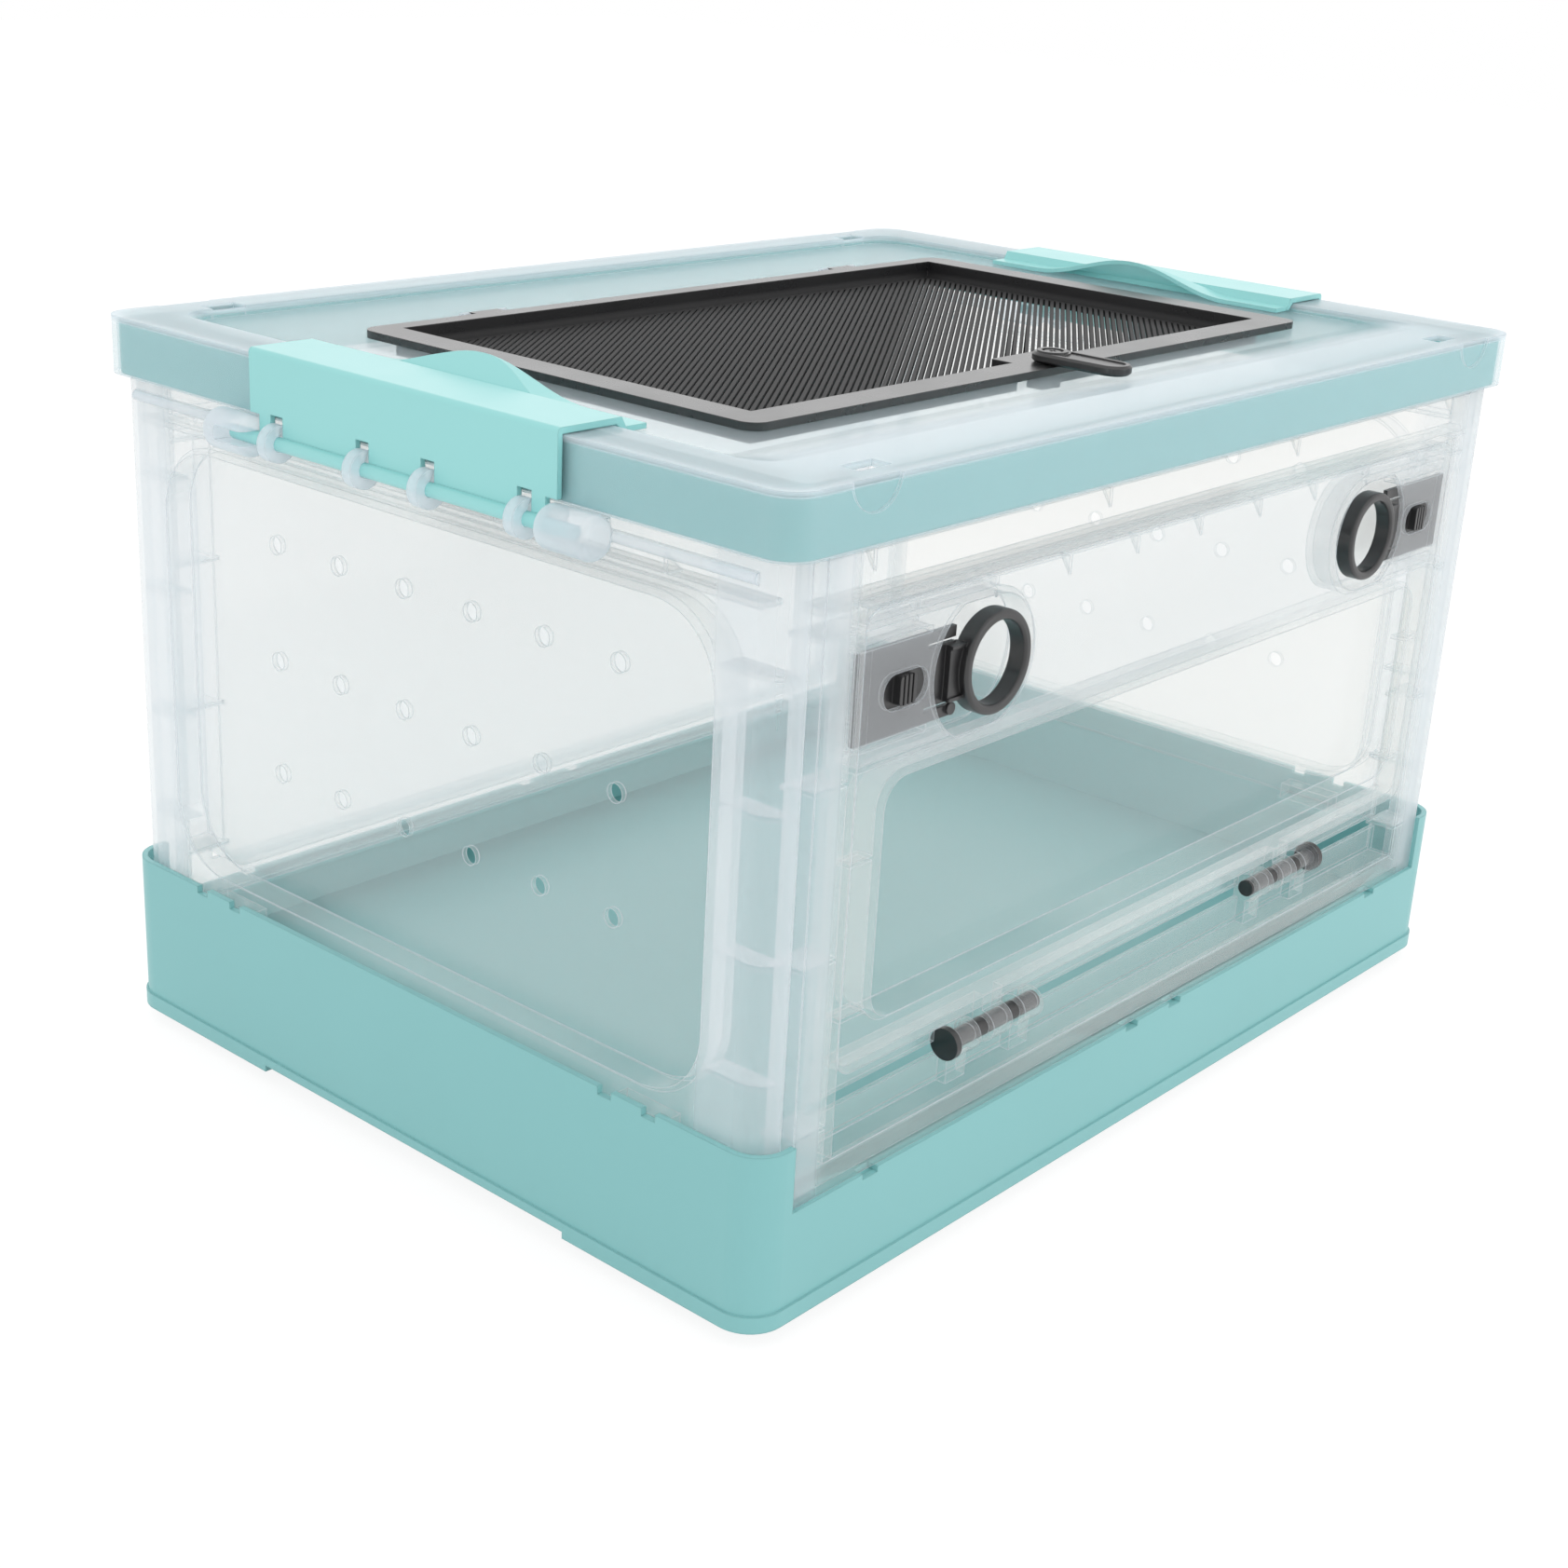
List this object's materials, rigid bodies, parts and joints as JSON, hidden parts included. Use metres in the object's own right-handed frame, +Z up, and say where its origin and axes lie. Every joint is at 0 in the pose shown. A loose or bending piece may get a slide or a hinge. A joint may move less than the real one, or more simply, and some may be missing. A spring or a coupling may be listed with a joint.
{
  "type": "plastic pet keeper",
  "caption": "Folding plastic pet keeper: mint tub on rollers, clear walls and lid, a barred top hatch with a turn latch, end clips and a drop-down front door with sliding bolts.",
  "frame": {"origin": "centre of the footprint, on the ground under the rollers", "axes": "+Z up, X along the long side, the drop-down door faces -Y, the clips are at the two X ends"},
  "size_m": [0.5432, 0.386, 0.333],
  "materials": {
    "clear_plastic": "translucent milky polypropylene",
    "mint_plastic": "satin mint polypropylene",
    "light_mint_plastic": "satin light mint polypropylene",
    "black_plastic": "matte black moulded",
    "steel": "plain steel"
  },
  "bodies": {
    "keeper": {"base_tub": "mint_plastic", "front_wall": "clear_plastic", "back_wall": "clear_plastic", "left_end_wall": "clear_plastic", "right_end_wall": "clear_plastic", "top_ring": "mint_plastic", "lid": "clear_plastic", "door_hinge_pin_left": "black_plastic", "door_hinge_pin_right": "black_plastic", "axle_front_left": "steel", "axle_front_right": "steel", "axle_back_left": "steel", "axle_back_right": "steel"},
    "door": {"front_door": "clear_plastic"},
    "bolt_left": {"bolt_left": "black_plastic"},
    "bolt_right": {"bolt_right": "black_plastic"},
    "clip_left": {"clip_left": "light_mint_plastic"},
    "clip_right": {"clip_right": "light_mint_plastic"},
    "hatch": {"hatch": "black_plastic"},
    "latch": {"hatch_lever": "black_plastic", "latch_cam": "black_plastic", "latch_screw": "black_plastic"},
    "wheel_front_left": {"wheel_front_left": "black_plastic"},
    "wheel_front_right": {"wheel_front_right": "black_plastic"},
    "wheel_back_left": {"wheel_back_left": "black_plastic"},
    "wheel_back_right": {"wheel_back_right": "black_plastic"}
  },
  "joints": [
    {"name": "front_door_hinge", "type": "hinge", "parent": "keeper", "child": "door", "pos_m": [0, -0.1835, 0.0843], "axis": [1, 0, 0], "range_deg": [0, 110]},
    {"name": "bolt_left_slide", "type": "slide", "parent": "door", "child": "bolt_left", "axis": [-1, 0, 0], "range_m": [-0.0015, 0.006]},
    {"name": "bolt_right_slide", "type": "slide", "parent": "door", "child": "bolt_right", "axis": [1, 0, 0], "range_m": [-0.0015, 0.006]},
    {"name": "clip_left_hinge", "type": "hinge", "parent": "keeper", "child": "clip_left", "pos_m": [-0.2632, 0, 0.291], "axis": [0, -1, 0], "range_deg": [0, 165]},
    {"name": "clip_right_hinge", "type": "hinge", "parent": "keeper", "child": "clip_right", "pos_m": [0.2632, 0, 0.291], "axis": [0, 1, 0], "range_deg": [0, 165]},
    {"name": "hatch_hinge", "type": "hinge", "parent": "keeper", "child": "hatch", "pos_m": [0, 0.111, 0.3204], "axis": [-1, 0, 0], "range_deg": [0, 110]},
    {"name": "hatch_latch_turn", "type": "hinge", "parent": "hatch", "child": "latch", "pos_m": [0, -0.107, 0.32], "axis": [0, 0, 1], "range_deg": [0, 90]},
    {"name": "wheel_front_left_spin", "type": "hinge", "parent": "keeper", "child": "wheel_front_left", "pos_m": [-0.216, -0.1819, 0.012], "axis": [0, 1, 0], "continuous": true},
    {"name": "wheel_front_right_spin", "type": "hinge", "parent": "keeper", "child": "wheel_front_right", "pos_m": [0.216, -0.1819, 0.012], "axis": [0, 1, 0], "continuous": true},
    {"name": "wheel_back_left_spin", "type": "hinge", "parent": "keeper", "child": "wheel_back_left", "pos_m": [-0.216, 0.1819, 0.012], "axis": [0, 1, 0], "continuous": true},
    {"name": "wheel_back_right_spin", "type": "hinge", "parent": "keeper", "child": "wheel_back_right", "pos_m": [0.216, 0.1819, 0.012], "axis": [0, 1, 0], "continuous": true}
  ]
}
